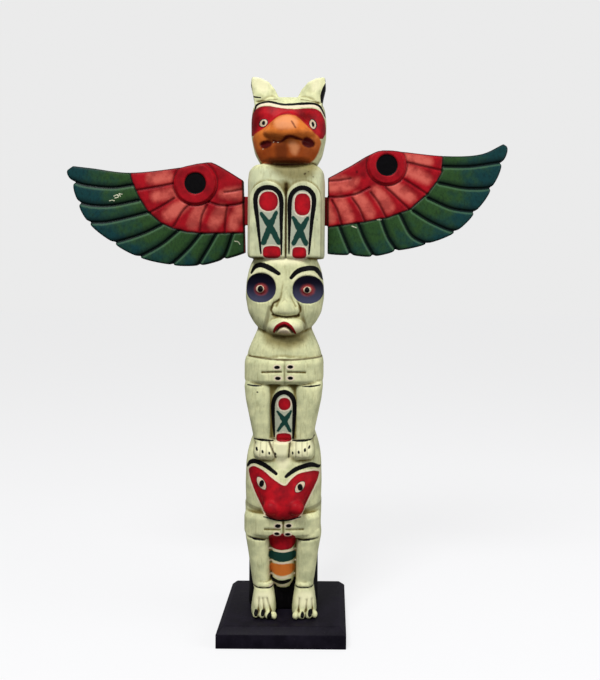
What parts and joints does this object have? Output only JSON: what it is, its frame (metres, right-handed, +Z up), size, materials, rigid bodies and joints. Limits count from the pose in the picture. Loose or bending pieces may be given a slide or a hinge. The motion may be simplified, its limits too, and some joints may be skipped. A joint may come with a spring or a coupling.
{
  "type": "totem pole",
  "caption": "Carved and painted wooden totem pole with a winged bird, a seated figure and a bear, on a bevelled plinth.",
  "frame": {"origin": "centre of the plinth's underside", "axes": "+Z up the pole, carved front towards -Y, the viewer's right wing towards +X"},
  "size_m": [0.4021, 0.115, 0.493],
  "materials": {
    "pole_paint": "cream, red, green, orange and black paint with an antique wash, satin",
    "wing_paint": "red and green paint over carved wood, worn at the edges, satin",
    "plinth_paint": "black paint, satin"
  },
  "bodies": {
    "root": {"carved_pole": "pole_paint", "left_wing": "wing_paint", "right_wing": "wing_paint", "plinth": "plinth_paint"}
  },
  "joints": []
}
